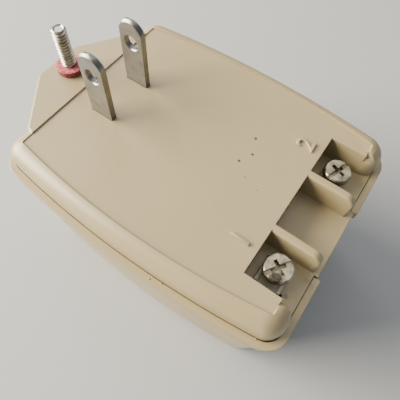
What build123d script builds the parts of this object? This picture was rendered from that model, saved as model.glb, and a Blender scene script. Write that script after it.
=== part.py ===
from build123d import *
import os
from math import cos, radians, sin, sqrt, tan

# Plug-in transformer, lying on its rear face. +Z points out of the front along the plug blades,
# +Y towards the mounting ear and +X to the right. The origin is under the middle of the whole
# part, on the rear face. Lengths are in millimetres and angles in degrees.

# Case, seen from the front
case_length = 75.7          # rim, from the terminal end to the ear end
case_width = 62.4           # rim, across the middle of its length
side_bow_radius = 248.0     # the long sides bow out on this radius
rim_corner_radius = 5.2
rim_width = 1.6             # flat top of the rim
rim_height = 2.1
rim_overhang = 0.8          # the rim stands out over the tub by this much

# Case, in depth
case_depth = 47.0           # rear face to the front panel
panel_above_rim = 7.0
wall = 2.2
draft_angle = 4.2
rear_edge_radius = 2.0
tub_corner_radius = 4.4     # under the rim
rear_corner_radius = 3.0    # at the rear face
rear_edge_steps = 5         # sections lofted round the rear edge
skirt_depth = 1.8           # how far the cover reaches down inside the rim
cover_gap = 0.12            # open line between the cover and the rim
cover_corner_radius = 4.0

# Front panel and the rolled edge round it
panel_end_margin = 5.44     # rim's end to the panel's end
panel_width = 52.6          # across the middle of its length
panel_bow_radius = 192.0
panel_corner_radius = 0.5
panel_thickness = 2.4
border_height = 0.35        # the rolled edge stands this much over the panel
side_roll_radius = 3.5
end_roll_radius = 4.8
corner_pinch = 0.8          # share of the side's roll that the plan corner tightens by
roll_steps = 12             # sections lofted up the rolled edge

# Mounting ear
ear_reach = 6.3             # beyond the rim
ear_base_width = 41.0
ear_end_width = 12.6
ear_root_setback = 3.6      # rim's end to where the ear's sides start to slope
ear_shift = 0.9             # the ear's end and its screw sit this far left of the middle
ear_thickness = 2.5
ear_corner_radius = 1.8
ear_hole_diameter = 4.6

# Terminal bay, cut into the terminal end
bay_width = 39.7
bay_setback = 14.16         # rim's end to the bay's inner wall
bay_depth = 6.8
bay_wall = 2.0
bay_floor = 2.0
bay_mouth_radius = 3.0      # the bay's side walls end round, like fingers
corner_core_drop = 4.5      # panel to the roof of the hollow beside the bay
corner_core_margin = 4.0    # cover's terminal end to that hollow
rib_spacing = 16.12
rib_thickness = 2.0
rib_end_setback = 2.2       # rim's end to the rib's end
rib_nose_radius = 2.6
rib_edge_radius = 0.55
tongue_width = 18.6         # middle of the bay floor, which passes through a notch in the rim
tongue_end_setback = 0.8
notch_clearance = 0.3

# Plug blades
blade_spacing = 12.7
blade_width = 6.1
blade_thickness = 1.5
blade_length = 17.4         # panel to the tip
blade_tip_rise = 2.4        # height of the arched tip
blade_tip_chamfer = 0.5
blade_hole_height = 11.8
blade_hole_diameter = 3.3
blade_hole_chamfer = 0.3
blade_setback = 14.225      # rim's ear end to the blades
blade_foot_width = 9.5
blade_foot_height = 2.4
blade_tail_width = 4.0
blade_tail_depth = 9.0      # panel to the end of the tail
blade_slot_clearance = 0.05

# Mounting screw and the washer that keeps it in the ear
thread_diameter = 3.5
neck_diameter = 3.0         # plain neck that the washer turns on, between the head and the thread
screw_from_blades = 15.525
screw_reach = 12.2          # panel to the free end
screw_end_chamfer = 0.35
screw_float = 1.5           # how far the screw can lift before its head meets the ear
stop_clearance = 0.2
neck_gap = 0.5             # washer to the first turn of the thread
washer_diameter = 6.7
washer_thickness = 1.5
washer_lift = 0.1           # washer's rest gap over the ear
running_clearance = 0.05    # on the radius, where a screw turns in a hole
channel_radius = 4.2        # room for the screw's head and its driver beside the case

# Screw heads
head_diameter = 6.4
head_height = 1.6
head_edge_bevel = 0.3
recess_slot_width = 1.0
recess_slot_depth = 0.5
recess_cross_width = 0.9
recess_cross_length = 3.5
recess_cross_depth = 1.3

# Wire terminals
terminal_spacing = 28.9
terminal_setback = 9.0      # rim's terminal end to the screws
left_screw_rise = 5.5       # bay floor to the top of the head
right_screw_rise = 4.4
left_slot_angle = -34.0
right_slot_angle = -19.0
terminal_screw_length = 7.5 # under the head
plate_length = 6.6
plate_width = 6.0
plate_thickness = 1.0
plate_pocket_depth = 0.7
plate_pocket_clearance = 0.08
side_hole_length = 1.4      # small hole in the floor beside the left plate's outer corner
side_hole_width = 0.6
plate_lip_height = 0.8
plate_lip_thickness = 0.7
collar_diameter = 5.4
collar_depth = 3.4          # bay floor to the collar's end
collar_clearance = 0.2
tail_thickness = 0.8
tail_width = 3.0
tail_depth = 6.0            # bay floor to the tail's end
tail_clearance = 0.2

# Core, bobbin and windings
core_leg_width = 9.0        # outer legs and yokes; the centre leg is twice as wide
window_width = 9.0
window_length = 27.0
core_headroom = 10.6        # core to the back of the panel
core_post_width = 5.0
bobbin_wall = 1.0
bobbin_overhang = 8.5       # stack to the edge of the flanges
bobbin_core_clearance = 0.2
bobbin_window_clearance = 0.3
coil_clearance = 0.3        # flange to the case's floor
winding_setback = 1.1       # flange's edge to the outside of the winding
winding_corner_radius = 5.0
tape_thickness = 0.4

# Thermal fuse and the leads
fuse_diameter = 3.2
fuse_length = 9.6
sleeve_wall = 0.4
sleeve_overlap = 0.6        # sleeve past each end of the fuse
fuse_setback = 3.6          # blades to the fuse
lead_diameter = 1.0
right_lead_run = 3.4        # blade's lead to where it turns to the winding
fuse_lead_run = 3.0
lead_start_drop = 6.5       # panel to the top of the blades' leads
secondary_lead_jog = 2.6    # winding to the first bend
secondary_lead_slant = 4.2  # first bend to the second, along the case
secondary_lead_spacing = 4.0

# Places that follow from the sizes above
quarter_turn = 90.0
case_middle_y = -ear_reach / 2
terminal_rim_y = case_middle_y - case_length / 2
ear_rim_y = case_middle_y + case_length / 2
ear_end_y = ear_rim_y + ear_reach
rim_z = case_depth - panel_above_rim
ledge_z = rim_z - skirt_depth
tub_top_z = rim_z - rim_height
border_z = case_depth + border_height
crown_height = border_z - rim_z
cover_inset = rim_width + cover_gap
panel_low_y = terminal_rim_y + panel_end_margin
panel_high_y = ear_rim_y - panel_end_margin
panel_back_z = case_depth - panel_thickness
ear_back_z = border_z - ear_thickness
bay_inner_y = terminal_rim_y + bay_setback
bay_floor_z = case_depth - bay_depth
bay_under_z = bay_floor_z - bay_floor
blade_y = ear_rim_y - blade_setback
screw_x = -ear_shift
screw_y = blade_y + screw_from_blades
washer_z = border_z + washer_lift
terminal_y = terminal_rim_y + terminal_setback
plate_z = bay_floor_z - plate_pocket_depth
core_seat_z = wall + coil_clearance + bobbin_overhang
core_top_z = panel_back_z - core_headroom
stack_height = core_top_z - core_seat_z
core_middle_z = core_seat_z + stack_height / 2
centre_leg_half = core_leg_width
core_length = 2 * (centre_leg_half + window_width + core_leg_width)
core_depth = window_length + 2 * core_leg_width
fuse_radius = fuse_diameter / 2
sleeve_radius = fuse_radius + sleeve_wall
fuse_y = blade_y - fuse_setback
fuse_z = core_top_z + sleeve_radius


def bowed_outline(y_low, y_high, half_width, bow_radius, corner_radius):
    """Straight ends and bowed sides; half_width is at the middle of the case's length."""

    def side_x(y):
        return half_width - bow_radius + sqrt(bow_radius**2 - (y - case_middle_y) ** 2)

    y_mid = (y_low + y_high) / 2
    low = side_x(y_low)
    mid = side_x(y_mid)
    high = side_x(y_high)
    edges = [
        Line((-low, y_low), (low, y_low)),
        ThreePointArc((low, y_low), (mid, y_mid), (high, y_high)),
        Line((high, y_high), (-high, y_high)),
        ThreePointArc((-high, y_high), (-mid, y_mid), (-low, y_low)),
    ]
    outline = make_face(edges)
    return fillet(outline.vertices(), corner_radius)


def case_outline(side_inset, end_inset, corner_radius):
    """The rim's outline, drawn in by its own amount on the sides and at the ends."""
    y_low = terminal_rim_y + end_inset
    y_high = ear_rim_y - end_inset
    half_width = case_width / 2 - side_inset
    return bowed_outline(y_low, y_high, half_width, side_bow_radius - side_inset, corner_radius)


def even_outline(inset, corner_radius):
    return case_outline(inset, inset, corner_radius)


def block(x_low, x_high, y_low, y_high, z_low, z_high):
    """A box between two corners."""
    box = Box(x_high - x_low, y_high - y_low, z_high - z_low, align=Align.MIN)
    return Pos(x_low, y_low, z_low) * box


def upright(x, y, z_low, z_high, radius):
    """A cylinder along Z between two heights."""
    return Pos(x, y, z_low) * Cylinder(radius, z_high - z_low, align=(Align.CENTER, Align.CENTER, Align.MIN))


def roll_inset(drop, radius):
    """How far a rounded edge has still to draw out, at this drop below its top."""
    if drop >= radius:
        return 0.0
    return radius - sqrt(radius**2 - (radius - drop) ** 2)


def cover_crown():
    """The cover's rounded front: sections up the rolled edge, which is wider at the ends."""
    sections = []
    for step in range(roll_steps + 1):
        drop = crown_height * (1 - sin(radians(quarter_turn * step / roll_steps)))
        side = roll_inset(drop, side_roll_radius)
        end = roll_inset(drop, end_roll_radius)
        corner = cover_corner_radius - corner_pinch * side
        outline = case_outline(cover_inset + side, cover_inset + end, corner)
        sections.append(Pos(0, 0, border_z - drop) * outline)
    return loft(sections, ruled=True)


def mounting_ear():
    """The flat ear that takes the mounting screw, level with the border."""
    base = ear_base_width / 2
    end = ear_end_width / 2
    root_y = ear_rim_y - ear_root_setback
    inner_y = panel_high_y
    points = [
        (-base, inner_y),
        (base, inner_y),
        (base, root_y),
        (end - ear_shift, ear_end_y),
        (-end - ear_shift, ear_end_y),
        (-base, root_y),
    ]
    outline = make_face(Polyline(points, close=True))
    outline = fillet(outline.vertices().filter_by_position(Axis.Y, root_y, ear_end_y), ear_corner_radius)
    ear = extrude(Pos(0, 0, ear_back_z) * outline, ear_thickness)
    return ear - upright(screw_x, screw_y, ear_back_z, border_z, ear_hole_diameter / 2)


def bay_ribs():
    """The two ribs that part the bay, each with a rounded nose at the open end."""
    end_y = terminal_rim_y + rib_end_setback
    height = case_depth - bay_under_z
    ribs = Part()
    for side in (-1, 1):
        profile = Plane.YZ * Pos(end_y, bay_under_z) * Rectangle(bay_inner_y - end_y, height, align=Align.MIN)
        nose = profile.vertices().group_by(Axis.Z)[-1].sort_by(Axis.Y)[0]
        profile = fillet(nose, rib_nose_radius)
        rib = extrude(profile, rib_thickness / 2, both=True)
        long_edges = rib.edges().filter_by_position(Axis.Z, case_depth, case_depth).filter_by(Axis.Y)
        rib = fillet(long_edges, rib_edge_radius)
        ribs += Pos(side * rib_spacing / 2, 0, 0) * rib
    return ribs


def mouth_round(side):
    """What is cut from one side of the bay's mouth to round the end of its wall."""
    x_low = bay_width / 2
    end_y = terminal_rim_y + cover_inset
    reach = 2 * bay_mouth_radius
    corner = block(x_low, x_low + bay_mouth_radius, end_y - reach, panel_low_y, bay_floor_z, border_z)
    finger = block(x_low, x_low + reach, end_y, panel_low_y + reach, bay_floor_z, border_z)
    tip_edges = finger.edges().sort_by_distance((x_low, end_y, border_z))[:3]
    cut = corner - fillet(tip_edges, bay_mouth_radius)
    if side < 0:
        return mirror(cut, about=Plane.YZ)
    return cut


def plate_seat(side):
    """What is cut from the bay floor for one terminal plate: its pocket, collar hole and tail slot."""
    x = side * terminal_spacing / 2
    half_length = plate_length / 2 + plate_pocket_clearance
    half_width = plate_width / 2 + plate_pocket_clearance
    top_z = bay_floor_z + plate_thickness
    pocket = block(x - half_length, x + half_length, terminal_y - half_width, terminal_y + half_width,
                   plate_z, top_z)
    hole = upright(x, terminal_y, bay_under_z - wall, top_z, collar_diameter / 2 + collar_clearance)
    tail_x = x - side * (plate_length - tail_thickness) / 2
    half_thick = tail_thickness / 2 + tail_clearance
    half_tail = tail_width / 2 + tail_clearance
    slot = block(tail_x - half_thick, tail_x + half_thick, terminal_y - half_tail, terminal_y + half_tail,
                 bay_under_z - wall, top_z)
    return pocket + hole + slot


def side_hole():
    """The small hole through the bay floor beside the left plate."""
    x = -(terminal_spacing + plate_length) / 2
    y = terminal_y - plate_width / 2 - plate_pocket_clearance
    half = side_hole_length / 2
    return block(x - half, x + half, y - side_hole_width, y, bay_under_z - wall, bay_floor_z)


def core_posts(z_low, z_high):
    """Posts at the corners of the core, between the core and one half of the case."""
    posts = Part()
    for x_side in (-1, 1):
        for y_side in (-1, 1):
            x = x_side * (core_depth - core_post_width) / 2
            y = case_middle_y + y_side * (core_length - core_post_width) / 2
            half = core_post_width / 2
            posts += block(x - half, x + half, y - half, y + half, z_low, z_high)
    return posts


def front_cover():
    skirt = extrude(Pos(0, 0, ledge_z) * even_outline(cover_inset, cover_corner_radius), skirt_depth)
    inner = even_outline(cover_inset + wall, cover_corner_radius - wall)
    hollow = extrude(Pos(0, 0, ledge_z) * inner, panel_back_z - ledge_z)
    bay_half = bay_width / 2
    bay_end_y = terminal_rim_y - ear_reach
    walled_half = bay_half + bay_wall
    hollow -= block(-walled_half, walled_half, bay_end_y, bay_inner_y + bay_wall, bay_under_z, border_z)
    roof_z = case_depth - corner_core_drop
    hollow -= block(-case_width, case_width, bay_end_y, bay_inner_y + bay_wall, roof_z, border_z)
    core_end_y = terminal_rim_y + cover_inset + corner_core_margin
    hollow -= block(-case_width, case_width, bay_end_y, core_end_y, bay_under_z, border_z)
    hollow -= upright(screw_x, screw_y, ledge_z, border_z, channel_radius + wall)

    panel = bowed_outline(panel_low_y, panel_high_y, panel_width / 2, panel_bow_radius, panel_corner_radius)
    cover = cover_crown() + skirt
    cover -= upright(screw_x, screw_y, ledge_z, ear_back_z, channel_radius)
    cover += mounting_ear()
    cover -= extrude(Pos(0, 0, case_depth) * panel, crown_height)
    cover += extrude(Pos(0, 0, panel_back_z) * panel, panel_thickness)
    cover -= hollow
    cover -= block(-bay_half, bay_half, bay_end_y, bay_inner_y, bay_floor_z, border_z + border_height)
    tongue_half = tongue_width / 2
    cover += block(-tongue_half, tongue_half, terminal_rim_y + tongue_end_setback, bay_inner_y,
                   bay_under_z, bay_floor_z)
    cover += bay_ribs()
    for side in (-1, 1):
        cover -= mouth_round(side)
        cover -= plate_seat(side)
        slot_x = side * blade_spacing / 2
        half_thick = blade_thickness / 2 + blade_slot_clearance
        half_wide = blade_width / 2 + blade_slot_clearance
        cover -= block(slot_x - half_thick, slot_x + half_thick, blade_y - half_wide, blade_y + half_wide,
                       panel_back_z, border_z)
    cover -= side_hole()
    cover += core_posts(core_top_z, panel_back_z) & hollow
    return cover


def tub_inset(z):
    """How far the tapered tub stands inside the rim's outline at a height."""
    return rim_overhang + (tub_top_z - z) * tan(radians(draft_angle))


def tub_body():
    """The tapered tub, solid, with its rear edge rounded."""
    sections = []
    for step in range(rear_edge_steps + 1):
        z = rear_edge_radius * (1 - cos(radians(quarter_turn * step / rear_edge_steps)))
        roll = roll_inset(z, rear_edge_radius)
        sections.append(Pos(0, 0, z) * even_outline(tub_inset(z) + roll, rear_corner_radius - roll))
    sections.append(Pos(0, 0, tub_top_z) * even_outline(tub_inset(tub_top_z), tub_corner_radius))
    return loft(sections, ruled=True)


def rear_housing():
    rim = extrude(Pos(0, 0, tub_top_z) * even_outline(0, rim_corner_radius), rim_height)
    inner_floor = even_outline(tub_inset(wall) + wall, rear_corner_radius - wall)
    inner_top = even_outline(tub_inset(ledge_z) + wall, tub_corner_radius - wall)
    hollow = loft([Pos(0, 0, wall) * inner_floor, Pos(0, 0, ledge_z) * inner_top], ruled=True)
    hollow -= upright(screw_x, screw_y, 0, rim_z, channel_radius + wall)
    recess = extrude(Pos(0, 0, ledge_z) * even_outline(rim_width, rim_corner_radius - rim_width), skirt_depth)

    housing = rim + tub_body()
    housing -= hollow
    housing -= recess
    housing -= upright(screw_x, screw_y, 0, rim_z, channel_radius)
    notch_half = tongue_width / 2 + notch_clearance
    notch_z = bay_under_z - notch_clearance
    housing -= block(-notch_half, notch_half, terminal_rim_y, terminal_rim_y + rim_width, notch_z, rim_z)
    housing += core_posts(wall, core_seat_z)
    return housing


def blade_outline(tip_drop):
    """The blade seen flat, with its foot and tail; tip_drop lowers the arched tip."""
    half = blade_width / 2
    foot = blade_foot_width / 2
    tail = blade_tail_width / 2
    shoulder = blade_length - blade_tip_rise - tip_drop
    foot_top = -panel_thickness
    foot_low = foot_top - blade_foot_height
    points = [(half, shoulder), (half, foot_top), (foot, foot_top), (foot, foot_low), (tail, foot_low),
              (tail, -blade_tail_depth)]
    points += [(-y, z) for y, z in reversed(points)]
    tip = ThreePointArc(points[-1], (0, blade_length - tip_drop), points[0])
    return Plane.YZ * make_face([Polyline(points), tip])


def plug_blade(side):
    """One plug blade: the tip is bevelled on both faces by lowering the arch towards each face."""
    half_flat = blade_thickness / 2 - blade_tip_chamfer
    blade = extrude(blade_outline(0), half_flat, both=True)
    for face in (-1, 1):
        inner = Pos(face * half_flat, 0, 0) * blade_outline(0)
        outer = Pos(face * blade_thickness / 2, 0, 0) * blade_outline(blade_tip_chamfer)
        blade += loft([inner, outer])
    hole = Rot(0, quarter_turn, 0) * Cylinder(blade_hole_diameter / 2, blade_thickness)
    blade -= Pos(0, 0, blade_hole_height) * hole
    hole_edges = blade.edges().filter_by(GeomType.CIRCLE).filter_by(lambda edge: edge.is_closed)
    blade = chamfer(hole_edges, blade_hole_chamfer)
    return Pos(side * blade_spacing / 2, blade_y, case_depth) * blade


def screw_head(slot_angle):
    """A low, flat head on z = 0 with a combined slot and cross recess."""
    head = upright(0, 0, 0, head_height, head_diameter / 2)
    head = chamfer(head.faces().sort_by(Axis.Z)[-1].edges(), head_edge_bevel)
    slot = Box(head_diameter, recess_slot_width, 2 * recess_slot_depth)
    cross = Box(recess_cross_length, recess_cross_width, 2 * recess_cross_depth)
    cross += Rot(0, 0, quarter_turn) * cross
    return head - Pos(0, 0, head_height) * Rot(0, 0, slot_angle) * (slot + cross)


def terminal_screw(side, rise, slot_angle):
    head_z = bay_floor_z + rise - head_height
    x = side * terminal_spacing / 2
    shank = upright(0, 0, -terminal_screw_length, 0, thread_diameter / 2 - running_clearance)
    shank = chamfer(shank.faces().sort_by(Axis.Z)[0].edges(), screw_end_chamfer)
    return Pos(x, terminal_y, head_z) * (screw_head(slot_angle) + shank)


def terminal_plate(side):
    """A plated steel plate with turned-up edges, a tapped collar and a solder tail."""
    x = side * terminal_spacing / 2
    half_length = plate_length / 2
    half_width = plate_width / 2
    lip_z = plate_z + plate_thickness + plate_lip_height
    plate = block(-half_length, half_length, -half_width, half_width, plate_z, lip_z)
    trough = half_width - plate_lip_thickness
    plate -= block(-half_length, half_length, -trough, trough, plate_z + plate_thickness, lip_z)
    plate += upright(0, 0, bay_floor_z - collar_depth, plate_z, collar_diameter / 2)
    plate -= upright(0, 0, bay_floor_z - collar_depth, lip_z, thread_diameter / 2)
    tail_x = -side * (half_length - tail_thickness / 2)
    plate += block(tail_x - tail_thickness / 2, tail_x + tail_thickness / 2, -tail_width / 2, tail_width / 2,
                   bay_floor_z - tail_depth, plate_z)
    return Pos(x, terminal_y, 0) * plate


def mounting_screw():
    """The screw as it hangs in the ear: head below, plain neck, threaded free end up."""
    head_z = ear_back_z - screw_float - stop_clearance
    neck_z = washer_z + washer_thickness + neck_gap
    top_z = case_depth + screw_reach
    thread = upright(0, 0, neck_z, top_z, thread_diameter / 2)
    thread = chamfer(thread.faces().sort_by(Axis.Z)[-1].edges(), screw_end_chamfer)
    neck = upright(0, 0, head_z, neck_z, neck_diameter / 2)
    head = Pos(0, 0, head_z) * Rot(2 * quarter_turn, 0, 0) * screw_head(0)
    return Pos(screw_x, screw_y, 0) * (thread + neck + head)


def retaining_washer():
    top_z = washer_z + washer_thickness
    bore = neck_diameter / 2 + running_clearance
    washer = upright(screw_x, screw_y, washer_z, top_z, washer_diameter / 2)
    return washer - upright(screw_x, screw_y, washer_z, top_z, bore)


def core_stacks():
    """The E stack, legs towards +X, and the I stack that closes it."""
    half_length = core_length / 2
    x_low = -core_depth / 2
    x_joint = core_depth / 2 - core_leg_width
    window_centre = centre_leg_half + window_width / 2
    centre_y = case_middle_y
    e_stack = block(x_low, x_joint, centre_y - half_length, centre_y + half_length, core_seat_z, core_top_z)
    for side in (-1, 1):
        window_y = centre_y + side * window_centre
        e_stack -= block(x_low + core_leg_width, x_joint, window_y - window_width / 2,
                         window_y + window_width / 2, core_seat_z, core_top_z)
    i_stack = block(x_joint, core_depth / 2, centre_y - half_length, centre_y + half_length,
                    core_seat_z, core_top_z)
    return e_stack, i_stack


tube_half_y = centre_leg_half + bobbin_core_clearance + bobbin_wall
tube_half_z = stack_height / 2 + bobbin_core_clearance + bobbin_wall
flange_half_y = centre_leg_half + window_width - bobbin_window_clearance
flange_half_z = stack_height / 2 + bobbin_overhang
bobbin_half_x = window_length / 2 - bobbin_window_clearance
winding_half_y = flange_half_y - winding_setback
winding_half_z = flange_half_z - winding_setback
tape_face_y = winding_half_y + tape_thickness


def coil_slab(x_low, x_high, half_y, half_z, corner_radius=0.0):
    """A slab across the centre leg, with rounded corners where asked."""
    section = Rectangle(2 * half_y, 2 * half_z)
    if corner_radius:
        section = fillet(section.vertices(), corner_radius)
    plane = Plane(origin=(x_low, case_middle_y, core_middle_z), x_dir=(0, 1, 0), z_dir=(1, 0, 0))
    return extrude(plane * section, x_high - x_low)


def bobbin():
    """A square tube on the centre leg with a flange at each end and one between the windings."""
    former = coil_slab(-bobbin_half_x, bobbin_half_x, tube_half_y, tube_half_z)
    for x in (-bobbin_half_x, -bobbin_wall / 2, bobbin_half_x - bobbin_wall):
        former += coil_slab(x, x + bobbin_wall, flange_half_y, flange_half_z)
    bore_y = tube_half_y - bobbin_wall
    bore_z = tube_half_z - bobbin_wall
    return former - coil_slab(-bobbin_half_x, bobbin_half_x, bore_y, bore_z)


def winding_and_tape(side):
    """One winding on its section of the bobbin, and the tape round it."""
    x_ends = sorted((side * bobbin_wall / 2, side * (bobbin_half_x - bobbin_wall)))
    turns = coil_slab(*x_ends, winding_half_y, winding_half_z, winding_corner_radius)
    tape = coil_slab(*x_ends, tape_face_y, winding_half_z + tape_thickness,
                     winding_corner_radius + tape_thickness)
    tape -= turns
    turns -= coil_slab(*x_ends, tube_half_y, tube_half_z)
    return turns, tape


def fuse_and_sleeve():
    """The thermal fuse lies in its sleeve on top of the core, beside the windings."""
    half = fuse_length / 2
    half_sleeve = half + sleeve_overlap
    axis = Pos(0, fuse_y, fuse_z) * Rot(0, quarter_turn, 0)
    fuse = axis * Cylinder(fuse_radius, fuse_length)
    sleeve = axis * (Cylinder(sleeve_radius, 2 * half_sleeve) - Cylinder(fuse_radius, 2 * half_sleeve))
    return fuse, sleeve


def lead(points):
    """An insulated wire along straight runs, mitred where it bends."""
    path = Polyline(*points)
    section = Plane(origin=path @ 0, z_dir=path % 0) * Circle(lead_diameter / 2)
    return sweep(section, path=path, transition=Transition.RIGHT)


def primary_leads():
    """Left blade to fuse, fuse to winding, right blade to winding."""
    beside_blade = blade_spacing / 2 + blade_thickness / 2 + lead_diameter / 2
    start_z = case_depth - lead_start_drop
    fuse_end = fuse_length / 2
    winding_y = case_middle_y + tape_face_y
    turn_x = fuse_end + fuse_lead_run
    right_x = beside_blade + right_lead_run
    left = lead([(-beside_blade, blade_y, start_z), (-beside_blade, blade_y, fuse_z),
                 (-beside_blade, fuse_y, fuse_z), (-fuse_end, fuse_y, fuse_z)])
    middle = lead([(fuse_end, fuse_y, fuse_z), (turn_x, fuse_y, fuse_z), (turn_x, winding_y, fuse_z)])
    right = lead([(beside_blade, blade_y, start_z), (beside_blade, blade_y, fuse_z),
                  (right_x, blade_y, fuse_z), (right_x, winding_y, fuse_z)])
    return left, middle, right


def secondary_lead(side):
    """From the secondary winding over the core to a terminal plate's tail."""
    start_x = (side * secondary_lead_spacing - bobbin_half_x) / 2
    winding_y = case_middle_y - tape_face_y
    end_x = side * (terminal_spacing - plate_length - lead_diameter) / 2
    jog_y = winding_y - secondary_lead_jog
    slant_y = jog_y - secondary_lead_slant
    return lead([(start_x, winding_y, fuse_z), (start_x, jog_y, fuse_z), (end_x, slant_y, fuse_z),
                 (end_x, terminal_y - tail_width / 2, fuse_z)])


core_e_stack, core_i_stack = core_stacks()
primary_winding, primary_tape = winding_and_tape(1)
secondary_winding, secondary_tape = winding_and_tape(-1)
thermal_fuse, fuse_sleeve = fuse_and_sleeve()
primary_lead_left, fuse_lead, primary_lead_right = primary_leads()

nodes = {
    "front_cover": front_cover(),
    "rear_housing": rear_housing(),
    "blade_left": plug_blade(-1),
    "blade_right": plug_blade(1),
    "mounting_screw": mounting_screw(),
    "retaining_washer": retaining_washer(),
    "terminal_screw_left": terminal_screw(-1, left_screw_rise, left_slot_angle),
    "terminal_screw_right": terminal_screw(1, right_screw_rise, right_slot_angle),
    "terminal_plate_left": terminal_plate(-1),
    "terminal_plate_right": terminal_plate(1),
    "core_e_stack": core_e_stack,
    "core_i_stack": core_i_stack,
    "bobbin": bobbin(),
    "primary_winding": primary_winding,
    "secondary_winding": secondary_winding,
    "primary_tape": primary_tape,
    "secondary_tape": secondary_tape,
    "thermal_fuse": thermal_fuse,
    "fuse_sleeve": fuse_sleeve,
    "primary_lead_left": primary_lead_left,
    "fuse_lead": fuse_lead,
    "primary_lead_right": primary_lead_right,
    "secondary_lead_left": secondary_lead(-1),
    "secondary_lead_right": secondary_lead(1),
}

os.makedirs("parts", exist_ok=True)
for name, shape in nodes.items():
    export_step(shape, f"parts/{name}.step")
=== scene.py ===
from math import ceil, hypot, pi, radians

import bmesh
import bpy
from mathutils import Matrix, Vector


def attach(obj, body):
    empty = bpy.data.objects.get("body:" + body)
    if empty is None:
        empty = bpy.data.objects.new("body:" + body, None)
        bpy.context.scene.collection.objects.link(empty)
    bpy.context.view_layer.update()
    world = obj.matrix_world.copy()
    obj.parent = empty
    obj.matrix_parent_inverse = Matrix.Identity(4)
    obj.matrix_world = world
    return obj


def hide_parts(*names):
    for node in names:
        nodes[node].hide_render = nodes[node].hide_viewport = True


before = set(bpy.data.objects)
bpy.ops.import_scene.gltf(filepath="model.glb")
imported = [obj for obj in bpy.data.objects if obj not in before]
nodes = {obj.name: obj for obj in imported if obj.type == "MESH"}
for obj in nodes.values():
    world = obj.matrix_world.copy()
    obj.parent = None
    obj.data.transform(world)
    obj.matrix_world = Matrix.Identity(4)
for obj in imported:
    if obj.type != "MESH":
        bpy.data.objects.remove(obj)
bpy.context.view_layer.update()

# Bobbin. A moulded nylon former that slides over the core's middle leg, with a flange
# between the two windings and one at each end.
mm = 0.001


class Shade:
    """A shader socket that takes part in sums; node() adds any other node to its material."""

    def __init__(self, tree, socket=None):
        self.tree = tree
        self.socket = socket

    def node(self, kind, settings=None, inputs=None, output=0):
        made = self.tree.nodes.new(kind)
        for name, value in (settings or {}).items():
            setattr(made, name, value)
        for key, value in (inputs or {}).items():
            if isinstance(value, Shade):
                self.tree.links.new(value.socket, made.inputs[key])
            else:
                made.inputs[key].default_value = value
        return Shade(self.tree, made.outputs[output])

    def maths(self, operation, a, b):
        return self.node("ShaderNodeMath", {"operation": operation}, {0: a, 1: b})

    def __add__(self, other):
        return self.maths("ADD", self, other)

    def __radd__(self, other):
        return self.maths("ADD", other, self)

    def __sub__(self, other):
        return self.maths("SUBTRACT", self, other)

    def __rsub__(self, other):
        return self.maths("SUBTRACT", other, self)

    def __mul__(self, other):
        return self.maths("MULTIPLY", self, other)

    def __rmul__(self, other):
        return self.maths("MULTIPLY", other, self)

    def __lt__(self, other):
        return self.maths("LESS_THAN", self, other)

    def __gt__(self, other):
        return self.maths("GREATER_THAN", self, other)

    def fade(self, start, end):
        """0 up to one value, rising to 1 at another."""
        return self.node("ShaderNodeMapRange", None, {"Value": self, "From Min": start, "From Max": end})

    def mix(self, a, b):
        """Two colours mixed by this share; the Mix node's colours are its sockets 6 and 7."""
        return self.node("ShaderNodeMix", {"data_type": "RGBA"}, {0: self, 6: a, 7: b}, 2)

    def noise(self, scale, detail=3.0):
        return self.node("ShaderNodeTexNoise", None, {"Vector": self, "Scale": scale, "Detail": detail})

    def stretched(self, scale):
        return self.node("ShaderNodeMapping", None, {"Vector": self, "Scale": scale})

    def height(self):
        return self.node("ShaderNodeSeparateXYZ", None, {"Vector": self}, "Z")

    def spot(self, centre, radius, soft_edge):
        """1 within a radius of a point, falling to 0 over its soft edge."""
        far = self.node("ShaderNodeVectorMath", {"operation": "DISTANCE"}, {0: self, 1: centre}, "Value")
        return far.fade(radius + soft_edge, radius)

    def bump(self, depth, edge=None):
        """A normal from this relief; edge is the radius that the piece's sharp edges are broken to."""
        inputs = {"Height": self, "Distance": depth}
        if edge:
            inputs["Normal"] = self.node("ShaderNodeBevel", {"samples": 6}, {"Radius": edge})
        return self.node("ShaderNodeBump", None, inputs)


def colour(red, green, blue):
    """A colour from its values in a picture, 0 to 255."""
    levels = [value / 255 for value in (red, green, blue)]
    linear = [v / 12.92 if v <= 0.04045 else ((v + 0.055) / 1.055) ** 2.4 for v in levels]
    return (*linear, 1.0)


def finish(name, **constants):
    """A new material: returns it, its main shader's node and a Shade on its object coordinates."""
    made = bpy.data.materials.new(name)
    made.use_nodes = True
    tree = made.node_tree
    shader = tree.nodes["Principled BSDF"]
    for socket, value in constants.items():
        shader.inputs[socket.replace("_", " ")].default_value = value
    place = Shade(tree).node("ShaderNodeTexCoord", output="Object")
    return made, shader, place


def feed(shader, **links):
    """Links varying values to the main shader's sockets."""
    for socket, value in links.items():
        value.tree.links.new(value.socket, shader.inputs[socket.replace("_", " ")])


def coat_node(name, material):
    """Gives a solid that stays as it is its material."""
    slots = nodes[name].data.materials
    slots.clear()
    slots.append(material)


nylon, shader, place = finish("natural_nylon", Roughness=0.5, Specular_IOR_Level=0.4)
cloud = place.noise(scale=400.0)
feed(shader, Base_Color=cloud.mix(colour(222, 214, 196), colour(238, 233, 220)),
     Normal=place.noise(scale=3000.0).bump(depth=0.02 * mm))
coat_node("bobbin", nylon)

# Windings and their tapes. Enamelled copper wire, wound in layers on the bobbin's two
# sections, each wrapped in yellow polyester film tape.
wire_pitch = 0.35 * mm


def ridges(place, direction, pitch, wander):
    """Rows of wire or sheet across a direction; a wave of scale 1 runs 20 radians in a metre."""
    return place.node("ShaderNodeTexWave", {"wave_type": "BANDS", "bands_direction": direction},
                      {"Vector": place, "Scale": 2 * pi / (20 * pitch), "Distortion": wander}, "Fac")


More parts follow.
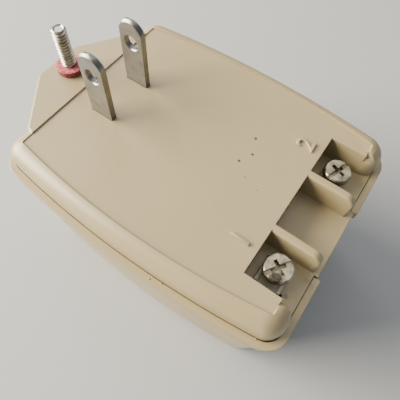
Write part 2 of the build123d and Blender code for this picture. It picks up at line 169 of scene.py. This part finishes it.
copper, shader, place = finish("enamelled_copper", Metallic=1.0)
turns = ridges(place, "X", wire_pitch, wander=0.2)
# The colour follows the rows: darker where the wave is low, between the turns, as painted shade in the
# grooves.
feed(shader, Base_Color=turns.mix(colour(120, 50, 22), colour(214, 120, 62)),
     Roughness=0.25 + place.noise(scale=900.0) * 0.2, Normal=turns.bump(depth=0.1 * mm))
coat_node("primary_winding", copper)
coat_node("secondary_winding", copper)

film, shader, place = finish("yellow_film_tape", Specular_IOR_Level=0.5, Coat_Weight=0.3,
                             Coat_Roughness=0.1)
crease = place.stretched((1.0, 0.15, 0.15)).noise(scale=700.0, detail=4.0)
feed(shader, Base_Color=crease.mix(colour(196, 150, 40), colour(232, 196, 84)),
     Roughness=0.2 + crease * 0.2, Normal=crease.bump(depth=0.08 * mm))
coat_node("primary_tape", film)
coat_node("secondary_tape", film)

# Core. Stacked and varnished iron laminations, whose edges show as fine lines on the sides.
# The E stack takes the bobbin on its middle leg, and the I stack closes it.
lamination = 0.5 * mm
iron, shader, place = finish("varnished_laminations", Metallic=0.7)
layers = ridges(place, "Z", lamination, wander=0.3)
rust = place.noise(scale=260.0, detail=5.0).fade(0.55, 0.75)
feed(shader, Base_Color=(rust * 0.6).mix(colour(92, 94, 98), colour(104, 66, 44)),
     Roughness=0.35 + rust * 0.35, Normal=layers.bump(depth=0.06 * mm))
coat_node("core_e_stack", iron)
coat_node("core_i_stack", iron)

# Thermal fuse, its sleeve and the leads. A plain metal can in glass-fibre sleeving, and
# PVC-insulated wires from the blades and to the terminal plates.
can, shader, place = finish("fuse_can", Metallic=1.0)
feed(shader, Base_Color=place.noise(scale=900.0).mix(colour(150, 150, 148), colour(190, 188, 182)),
     Roughness=0.3 + place.noise(scale=2500.0) * 0.15)
coat_node("thermal_fuse", can)

sleeving, shader, place = finish("glass_fibre_sleeving", Roughness=0.6)
braid = place.node("ShaderNodeTexVoronoi", None, {"Vector": place, "Scale": 3500.0})
feed(shader, Base_Color=braid.mix(colour(214, 208, 190), colour(236, 230, 214)),
     Normal=braid.bump(depth=0.05 * mm))
coat_node("fuse_sleeve", sleeving)


def insulation(name, dark, light):
    """Smooth PVC in two close tones."""
    made, shader, place = finish(name, Specular_IOR_Level=0.5)
    cloud = place.noise(scale=500.0)
    feed(shader, Base_Color=cloud.mix(dark, light), Roughness=0.3 + cloud * 0.15,
         Normal=place.noise(scale=4000.0).bump(depth=0.01 * mm))
    return made


black_pvc = insulation("black_insulation", colour(24, 24, 25), colour(40, 40, 42))
yellow_pvc = insulation("yellow_insulation", colour(190, 150, 40), colour(214, 172, 58))
for name in ("primary_lead_left", "fuse_lead", "primary_lead_right"):
    coat_node(name, black_pvc)
for name in ("secondary_lead_left", "secondary_lead_right"):
    coat_node(name, yellow_pvc)

# Rear housing. A deep drafted tub moulded in beige plastic, with a rim that the cover nests
# in and is welded to. Its edges are slightly rounded by the mould.
case_edge = 0.28 * mm
# The tub's wall below the rim is painted darker: painted shade of the rim's overhang.
tub_painted_shade_top = 38.25 * mm
tub_painted_shade_bottom = 35.0 * mm
merge_distance = 0.002 * mm


def moulded_finish(name, painted_shade_top, painted_shade_bottom, marks=None):
    """Satin beige plastic. Painted shade lies from one height down to another, and fades over its last
    third.
    Marks are pits and stains, listed by the level of their face: place and radius in mm, and strength."""
    made, shader, place = finish(name, Specular_IOR_Level=1.0)
    mottle = place.noise(scale=90.0, detail=4.0)
    grain = place.noise(scale=2600.0, detail=2.0)
    scuff = place.stretched((1.0, 0.12, 1.0)).noise(scale=900.0).fade(0.62, 0.74)
    plastic = mottle.mix(colour(166, 149, 111), colour(174, 158, 121))
    for level, stains in (marks or {}).items():
        for across, along, radius, strength in stains:
            stain = place.spot((across * mm, along * mm, level), radius * mm, soft_edge=0.2 * mm)
            plastic = (stain * strength).mix(plastic, colour(58, 44, 30))
    height = place.height()
    # Painted shade: the colour turns darker below a height, for the shade under overhangs and in gaps
    # between parts.
    full_painted_shade = painted_shade_bottom + (painted_shade_top - painted_shade_bottom) / 3
    painted_shade = (height < painted_shade_top) * height.fade(painted_shade_bottom, full_painted_shade)
    plastic = (painted_shade * (0.45 + mottle * 0.5)).mix(plastic, colour(80, 69, 51))
    feed(shader, Base_Color=plastic, Roughness=0.36 + grain * 0.1 - scuff * 0.06,
         Normal=(grain + mottle * 2.0).bump(depth=0.03 * mm, edge=case_edge))
    return made


def solid_copy(node):
    """A solid's mesh with its points merged."""
    mesh = nodes[node].data.copy()
    mesh.attributes.remove(mesh.attributes["custom_normal"])
    shape = bmesh.new()
    shape.from_mesh(mesh)
    bmesh.ops.remove_doubles(shape, verts=shape.verts, dist=merge_distance)
    return shape


def finished_piece(name, shape, material, body, replaced=None, sharp_angle=radians(35)):
    """Makes the object: smooth up to an angle, with its material, body and the solid it replaces."""
    mesh = bpy.data.meshes.new(name)
    for face in shape.faces:
        face.smooth = True
    shape.to_mesh(mesh)
    shape.free()
    mesh.set_sharp_from_angle(angle=sharp_angle)
    mesh.materials.append(material)
    piece = bpy.data.objects.new(name, mesh)
    bpy.context.scene.collection.objects.link(piece)
    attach(piece, body)
    if replaced:
        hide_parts(replaced)


tub = solid_copy("rear_housing")
tub_plastic = moulded_finish("beige_tub", tub_painted_shade_top, tub_painted_shade_bottom)
finished_piece("rear_tub", tub, tub_plastic, "case", "rear_housing")

# Front cover. The moulded front half: a recessed panel in a rolled border, the mounting ear
# level with that border, and the open terminal bay with its ribs. A few specks are pressed
# into its face, and crumbs of weld flash stand in the gap to the rim.
panel_level = 47.0 * mm
border_level = 47.35 * mm
bay_level = 40.2 * mm
level_margin = 0.01 * mm
border_slope = 0.22 * mm
flat_angle = radians(0.5)
ear_start = 29.5 * mm
ear_edge = 0.5 * mm
ear_screw = (-0.9 * mm, 36.0 * mm)
ear_hole_reach = 3.0 * mm
flash_level = 40.0 * mm
flash_radius = 0.2 * mm
flash_places = ((-30.25, -11.15), (-29.57, -13.77), (-27.56, -35.6))
# Below the cover's lower edge, in the gap to the rim, the colour is painted darker: painted shade between
# the parts.
cover_painted_shade_top = 40.1 * mm
cover_painted_shade_bottom = 36.0 * mm
panel_specks = [
    (8.85, -12.3, 0.25, 1.0),
    (4.6, -14.0, 0.23, 1.0),
    (1.35, -12.4, 0.23, 1.0),
    (-1.5, -15.7, 0.1, 0.6),
    (-2.7, -19.6, 0.1, 0.6),
]
ear_specks = [(-7.3, 30.7, 0.05, 0.45)]
bay_stains = [
    (-16.8, -36.45, 0.4, 0.5),
    (-11.4, -38.3, 0.5, 0.12),
    (-11.0, -39.0, 0.1, 0.4),
]


def crumb(shape, centre, radius, stretch):
    """Adds a stretched ball, for a bit of flash or a burr."""
    matrix = Matrix.Translation(centre) @ Matrix.Diagonal((*stretch, 1))
    bmesh.ops.create_icosphere(shape, subdivisions=2, radius=radius, matrix=matrix)


cover = solid_copy("front_cover")
cover.normal_update()

# At the terminal end the border's wall slopes down to the panel.
wall_low = panel_level - level_margin
wall_high = border_level + level_margin
end_wall = [face for face in cover.faces if face.normal.y > 0.8
            and all(wall_low < vert.co.z < wall_high for vert in face.verts)]
for vert in {vert for face in end_wall for vert in face.verts if vert.co.z < panel_level + level_margin}:
    vert.co.y += border_slope

# The ear's flat faces are joined up before its upper edge is bevelled.
flat_edges = [edge for edge in cover.edges if all(vert.co.y > ear_start for vert in edge.verts)
              and edge.calc_face_angle() < flat_angle]
bmesh.ops.dissolve_limit(cover, angle_limit=flat_angle, verts=[], edges=flat_edges)


def on_ear_outline(edge):
    """The sharp upper edges of the ear, without those of its screw hole."""
    across, along = ear_screw
    from_hole = max(hypot(vert.co.x - across, vert.co.y - along) for vert in edge.verts)
    on_top = all(vert.co.z > border_level - level_margin and vert.co.y > ear_start for vert in edge.verts)
    return on_top and from_hole > ear_hole_reach and edge.calc_face_angle() > radians(80)


ear_outline = [edge for edge in cover.edges if on_ear_outline(edge)]
bmesh.ops.bevel(cover, geom=ear_outline, offset=ear_edge, segments=1, profile=0.5, affect="EDGES",
                material=-1)
for across, along in flash_places:
    crumb(cover, (across * mm, along * mm, flash_level), flash_radius, stretch=(1, 1.7, 0.7))
cover_marks = {panel_level: panel_specks, border_level: ear_specks, bay_level: bay_stains}
cover_plastic = moulded_finish("beige_cover", cover_painted_shade_top, cover_painted_shade_bottom, cover_marks)
finished_piece("front_moulding", cover, cover_plastic, "case", "front_cover")

# Terminal numbers. Raised in the mould beside the two wire terminals, in the cover's plastic,
# so that the two can be told apart.
terminal_across = 14.45 * mm
number_along = -22.8 * mm
number_height = 6.0 * mm
number_relief = 0.42 * mm
number_edge = 0.08 * mm
for digit, across in (("1", -terminal_across), ("2", terminal_across)):
    letter = bpy.data.curves.new("numeral", "FONT")
    letter.body = digit
    letter.size = number_height
    letter.align_x = "CENTER"
    letter.align_y = "CENTER"
    letter.extrude = number_relief
    letter.bevel_depth = number_edge
    letter.bevel_resolution = 1
    numeral = bpy.data.objects.new("numeral", letter)
    shape = bmesh.new()
    shape.from_mesh(bpy.data.meshes.new_from_object(numeral))
    bpy.data.objects.remove(numeral)
    bmesh.ops.remove_doubles(shape, verts=shape.verts, dist=merge_distance)
    bmesh.ops.translate(shape, verts=shape.verts, vec=(across, number_along, panel_level))
    finished_piece("terminal_number_" + digit, shape, cover_plastic, "case")

# Plug blades. Stamped from strip with a bevelled tip and a contact hole, and nickel plated.
# They stand in slots in the panel, and their feet bear on its back.
blade_edge = 0.12 * mm
metal_angle = radians(30)
plating, shader, place = finish("nickel_plating", Metallic=1.0)
drawn = place.stretched((1.0, 1.0, 0.06)).noise(scale=2400.0, detail=4.0)
cloud = place.noise(scale=240.0)
rub = place.stretched((1.0, 0.5, 1.0)).noise(scale=700.0, detail=5.0).fade(0.56, 0.7)
tone = cloud.mix(colour(127, 127, 123), colour(159, 159, 158))
feed(shader, Base_Color=(rub * 0.5).mix(tone, colour(112, 104, 90)),
     Roughness=0.26 + drawn * 0.2 + rub * 0.1, Normal=drawn.bump(depth=0.012 * mm, edge=blade_edge))
for side in ("left", "right"):
    node = "blade_" + side
    finished_piece("plug_blade_" + side, solid_copy(node), plating, "case", node,
                   metal_angle)

# Terminal plates. Plated steel plates with turned-up edges, which lie in pockets in the bay's
# floor, with their collars and tails through it.
plate_edge = 0.15 * mm
steel, shader, place = finish("plated_steel", Metallic=0.4)
cloud = place.noise(scale=700.0)
feed(shader, Base_Color=cloud.mix(colour(186, 178, 160), colour(224, 216, 197)),
     Roughness=0.4 + cloud * 0.2,
     Normal=place.noise(scale=5000.0).bump(depth=0.008 * mm, edge=plate_edge))
for side in ("left", "right"):
    node = "terminal_plate_" + side
    finished_piece("wire_plate_" + side, solid_copy(node), steel, "case", node)

# Terminal screws. Zinc plated steel with rolled threads, and flat heads with a slot across a
# cross recess, backed out of the plates to take a wire. A slipped driver has scarred the left one.
screw_along = -32.0 * mm
head_height = 1.6 * mm
recess_radius = 2.7 * mm
# Below a head's top the zinc is painted darker: painted shade in the recess, and more on the head's side.
recess_shade_start_depth = 0.15 * mm
recess_shade_full_depth = 0.6 * mm
wire_thread_radius = 1.69 * mm
wire_thread_length = 7.5 * mm
thread_pitch = 0.794 * mm
thread_depth = 0.5 * mm
thread_overlap = 0.01 * mm
clean_end = 0.1 * mm
thread_bevel = 0.35 * mm
steps_per_turn = 40
cup_rim = 0.1 * mm
cup_slope = 0.35 * mm
cup_depth = 0.25 * mm
cut_tolerance = 0.0005 * mm
screw_edge = 0.08 * mm
left_underhead = 44.1 * mm
right_underhead = 43.0 * mm
driver_scar = (-16.75 * mm, -32.4 * mm, 45.7 * mm)
burr_level = 45.68 * mm
burr_radius = 0.11 * mm
burrs = ((-17.06, -31.1), (-17.05, -31.7), (-16.4, -31.4))


def plated_zinc(name, tones, centre, radius, low, high, head_top=None, scar=None):
    """Zinc in two tones, with painted shade in the thread's roots and below the top of a head, and a worn
    place.
    """
    made, shader, place = finish(name, Metallic=1.0)
    cloud = place.noise(scale=700.0).fade(0.36, 0.64)
    tone = cloud.mix(*tones)
    rough = 0.27 + cloud * 0.12
    relief = place.noise(scale=6000.0) * 0.3
    height = place.height()
    axis = (*centre, 0.0)
    flat = place.stretched((1.0, 1.0, 0.0))
    threaded = (height > low) * (height < high)
    # Painted shade: the thread's roots are coloured darker, for the shade between the turns.
    root = threaded * flat.spot(axis, radius - thread_depth, soft_edge=thread_depth * 0.8)
    tone = (root * 0.4).mix(tone, colour(60, 55, 45))
    if head_top:
        # Painted shade: below the head's top the colour is darker, and the zinc rougher, for the shade
        # that falls in the recess and on the side.
        sunk = height.fade(head_top - recess_shade_start_depth, head_top - recess_shade_full_depth)
        shade_below_top = sunk * (0.7 - flat.spot(axis, recess_radius, soft_edge=0.3 * mm) * 0.28)
        tone = shade_below_top.mix(tone, colour(66, 60, 48))
        rough = rough + shade_below_top * 0.28
    if scar:
        near = place.spot(scar, radius=0.55 * mm, soft_edge=1.1 * mm)
        worn = (near + place.noise(scale=2400.0, detail=4.0) * 0.6).fade(0.5, 0.95)
        tone = (worn * 0.85).mix(tone, colour(70, 64, 53))
        relief = relief + worn * place.noise(scale=2200.0) * 8.0
    feed(shader, Base_Color=tone, Roughness=rough, Normal=relief.bump(depth=0.02 * mm, edge=screw_edge))
    return made


def cut_at(shape, level, dropped_side):
    """Drops what lies above a height (1) or below it (-1)."""
    everything = shape.verts[:] + shape.edges[:] + shape.faces[:]
    bmesh.ops.bisect_plane(shape, geom=everything, dist=cut_tolerance, plane_co=(0, 0, level),
                           plane_no=(0, 0, dropped_side), clear_outer=True)


def close_cuts(shape):
    """Fills the holes that cuts have left."""
    open_edges = [edge for edge in shape.edges if edge.is_boundary]
    bmesh.ops.holes_fill(shape, edges=open_edges, sides=0)


def head_alone(node, level, dropped_side):
    """A screw's solid without its threaded length."""
    shape = solid_copy(node)
    cut_at(shape, level, dropped_side)
    close_cuts(shape)
    return shape


def thread(shape, centre, radius, low, high, end_up):
    """Adds a right-hand thread between two heights, its free end bevelled and cupped."""
    turn = bmesh.new()
    root = radius - thread_depth
    profile = [(root, 0.0), (root, 0.14), (radius, 0.44), (radius, 0.56), (root, 0.86), (root, 1.0)]
    start = low - thread_pitch
    ring = [turn.verts.new((across, 0.0, start + share * thread_pitch)) for across, share in profile]
    edges = [turn.edges.new(pair) for pair in zip(ring, ring[1:])]
    turns = ceil((high - start) / thread_pitch) + 1
    bmesh.ops.spin(turn, geom=ring + edges, cent=(0, 0, 0), axis=(0, 0, 1), angle=2 * pi * turns,
                   dvec=(0, 0, thread_pitch / steps_per_turn), steps=steps_per_turn * turns)
    bmesh.ops.remove_doubles(turn, verts=turn.verts, dist=2 * cut_tolerance)
    cut_at(turn, low, -1)
    cut_at(turn, high, 1)
    close_cuts(turn)
    bmesh.ops.recalc_face_normals(turn, faces=turn.faces)
    for vert in turn.verts:
        from_end = high - vert.co.z if end_up else vert.co.z - low
        limit = radius - thread_bevel + from_end
        reach = hypot(vert.co.x, vert.co.y)
        if reach > limit:
            vert.co.x *= limit / reach
            vert.co.y *= limit / reach
    cup = max(turn.faces, key=lambda face: face.calc_center_median().z * (1 if end_up else -1))
    bmesh.ops.inset_individual(turn, faces=[cup], thickness=cup_rim)
    bmesh.ops.inset_individual(turn, faces=[cup], thickness=cup_slope, depth=-cup_depth)
    bmesh.ops.translate(turn, verts=turn.verts, vec=(*centre, 0.0))
    part = bpy.data.meshes.new("thread")
    turn.to_mesh(part)
    turn.free()
    shape.from_mesh(part)
    bpy.data.meshes.remove(part)


for side, across, under, scar in (("left", -terminal_across, left_underhead, driver_scar),
                                  ("right", terminal_across, right_underhead, None)):
    node = "terminal_screw_" + side
    centre = (across, screw_along)
    low = under - wire_thread_length
    screw = head_alone(node, under - thread_overlap, -1)
    thread(screw, centre, wire_thread_radius, low, under, end_up=False)
    if scar:
        for burr_across, burr_along in burrs:
            burr = (burr_across * mm, burr_along * mm, burr_level)
            crumb(screw, burr, burr_radius, stretch=(1.6, 1, 0.7))
    zinc = plated_zinc("zinc_" + side, (colour(150, 142, 122), colour(218, 211, 189)), centre,
                       wire_thread_radius, low + clean_end, under, under + head_height, scar)
    finished_piece("wire_screw_" + side, screw, zinc, side + "_terminal", node,
                   metal_angle)

# Retaining washer. Punched from red vulcanised fibre and pushed over the thread onto the
# screw's neck, so that the screw can't fall out of the ear.
washer_bore = 1.55 * mm
washer_radius = 3.35 * mm
washer_bottom = 47.45 * mm
washer_top = 48.95 * mm
washer_crown = 0.03 * mm
crown_width = 0.75 * mm
punched_edge = 0.1 * mm
worn_edge = 0.15 * mm
side_shade_depth = 0.35 * mm
fibre_edge = 0.12 * mm
fibre, shader, place = finish("red_fibre", Specular_IOR_Level=0.3)
fleck = place.node("ShaderNodeTexVoronoi", None, {"Vector": place, "Scale": 1900.0})
fuzz = place.noise(scale=4200.0, detail=4.0)
pale = (fleck * 0.8 + fuzz * 0.5).fade(0.42, 0.72)
# Painted shade: the washer's side, below its top face, is coloured darker for the shade that falls on it.
rim = place.height().fade(washer_top, washer_top - side_shade_depth)
red = (pale * 0.75).mix(colour(176, 54, 70), colour(222, 132, 142))
feed(shader, Base_Color=(rim * 0.7).mix(red, colour(80, 50, 45)), Roughness=0.6 + fuzz * 0.2,
     Normal=(pale + fuzz * 0.6).bump(depth=0.07 * mm, edge=fibre_edge))
profile = [
    (washer_bore, washer_bottom),
    (washer_radius - punched_edge, washer_bottom),
    (washer_radius, washer_bottom + punched_edge),
    (washer_radius, washer_top - worn_edge),
    (washer_radius - punched_edge, washer_top - washer_crown),
    (washer_radius - crown_width, washer_top),
    (washer_bore, washer_top),
]
washer = bmesh.new()
ring = [washer.verts.new((across, 0.0, level)) for across, level in profile]
edges = [washer.edges.new(pair) for pair in zip(ring, ring[1:] + ring[:1])]
bmesh.ops.spin(washer, geom=ring + edges, cent=(0, 0, 0), axis=(0, 0, 1), angle=2 * pi, steps=72,
               use_merge=True)
bmesh.ops.recalc_face_normals(washer, faces=washer.faces)
bmesh.ops.translate(washer, verts=washer.verts, vec=(*ear_screw, 0.0))
finished_piece("fibre_washer", washer, fibre, "washer", "retaining_washer")

# Mounting screw. A zinc plated machine screw that hangs head down in the ear, with its rolled
# thread standing out of the washer.
outlet_thread_radius = 1.74 * mm
neck_top = 49.45 * mm
clean_neck = 0.05 * mm
thread_end = 59.2 * mm
screw = head_alone("mounting_screw", neck_top + thread_overlap, 1)
thread(screw, ear_screw, outlet_thread_radius, neck_top, thread_end, end_up=True)
zinc = plated_zinc("zinc_mounting", (colour(166, 162, 153), colour(204, 201, 193)), ear_screw,
                   outlet_thread_radius, neck_top + clean_neck, thread_end - thread_bevel)
finished_piece("outlet_screw", screw, zinc, "captive_screw", "mounting_screw",
               metal_angle)

# Stage. A plain pale floor under the rear face, soft studio light and the camera at the
# photograph's view.
floor_reach = 1.5
floor_mesh = bpy.data.meshes.new("floor")
shape = bmesh.new()
bmesh.ops.create_grid(shape, x_segments=1, y_segments=1, size=floor_reach)
shape.to_mesh(floor_mesh)
shape.free()
floor = bpy.data.objects.new("floor", floor_mesh)
bpy.context.scene.collection.objects.link(floor)
paper = finish("pale_floor", Roughness=0.8, Base_Color=colour(178, 181, 186))[0]
floor_mesh.materials.append(paper)

middle = Vector((0.0, 0.0, 0.04))


def softbox(name, place, width, power, tint=(1.0, 1.0, 1.0)):
    """A square soft light that faces the middle of the part."""
    lamp = bpy.data.lights.new(name, "AREA")
    lamp.shape = "SQUARE"
    lamp.size = width
    lamp.energy = power
    lamp.color = tint
    box = bpy.data.objects.new(name, lamp)
    box.location = place
    box.rotation_euler = (middle - Vector(place)).to_track_quat("-Z", "Y").to_euler()
    bpy.context.scene.collection.objects.link(box)


softbox("key_light", (-0.345, 0.746, 0.37), width=0.78, power=44.5, tint=(1.0, 0.905, 0.73))
softbox("overhead_light", (0.31, 0.24, 0.6), width=0.8, power=2.2, tint=(1.0, 0.93, 0.78))
softbox("top_light", (0.0, -0.25, 0.8), width=0.6, power=0.6)
softbox("tip_light", (0.31, 0.505, 0.48), width=0.2, power=0.5)

world = bpy.data.worlds.new("studio")
world.use_nodes = True
sky = world.node_tree.nodes["Background"]
sky.inputs["Color"].default_value = (0.78, 0.89, 1.0, 1.0)
sky.inputs["Strength"].default_value = 0.22
bpy.context.scene.world = world

view_right = (0.56996, -0.82028, 0.04778)
view_up = (0.72106, 0.52721, 0.44958)
view_back = (-0.39397, -0.22179, 0.89196)
camera = bpy.data.objects.new("camera", bpy.data.cameras.new("camera"))
camera.matrix_world = Matrix((view_right, view_up, view_back)).transposed().to_4x4()
camera.location = (-43.13 * mm, -28.49 * mm, 117.59 * mm)
camera.data.lens = 33.67
camera.data.sensor_width = 36.0
camera.data.clip_start = 1 * mm
bpy.context.scene.collection.objects.link(camera)
bpy.context.scene.camera = camera
